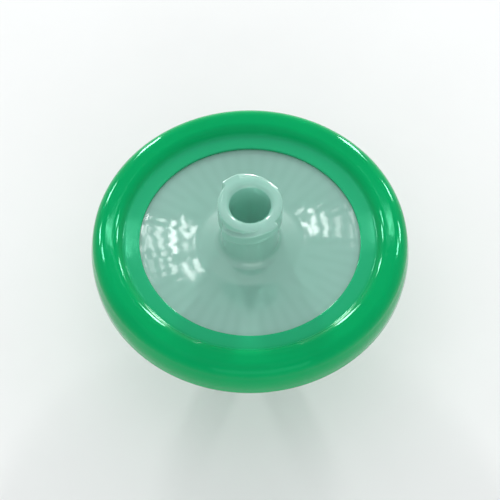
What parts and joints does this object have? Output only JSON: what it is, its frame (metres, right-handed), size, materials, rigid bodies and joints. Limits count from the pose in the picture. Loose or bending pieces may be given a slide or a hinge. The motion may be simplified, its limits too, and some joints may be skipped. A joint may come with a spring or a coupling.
{
  "type": "syringe filter",
  "caption": "Flat round membrane filter for a syringe: female luer lock inlet on one face, long male luer slip outlet on the other, and a coloured sealing ring round the rim.",
  "frame": {"origin": "centre of the end face of the outlet tip, the lowest point, on the flow axis", "axes": "+Z along the flow axis from the outlet tip up to the inlet's mouth; the two locking lugs of the inlet stand along +Y and -Y"},
  "size_m": [0.033, 0.033, 0.023],
  "materials": {
    "inlet_plastic": "natural polypropylene, milky and translucent, moulded gloss",
    "membrane": "white porous film, matt",
    "outlet_plastic": "natural polypropylene, milky and translucent, moulded gloss",
    "ring_plastic": "opaque green moulded polypropylene, glossy"
  },
  "bodies": {
    "root": {"inlet_housing": "inlet_plastic", "membrane": "membrane", "outlet_housing": "outlet_plastic", "sealing_ring": "ring_plastic"}
  },
  "joints": []
}
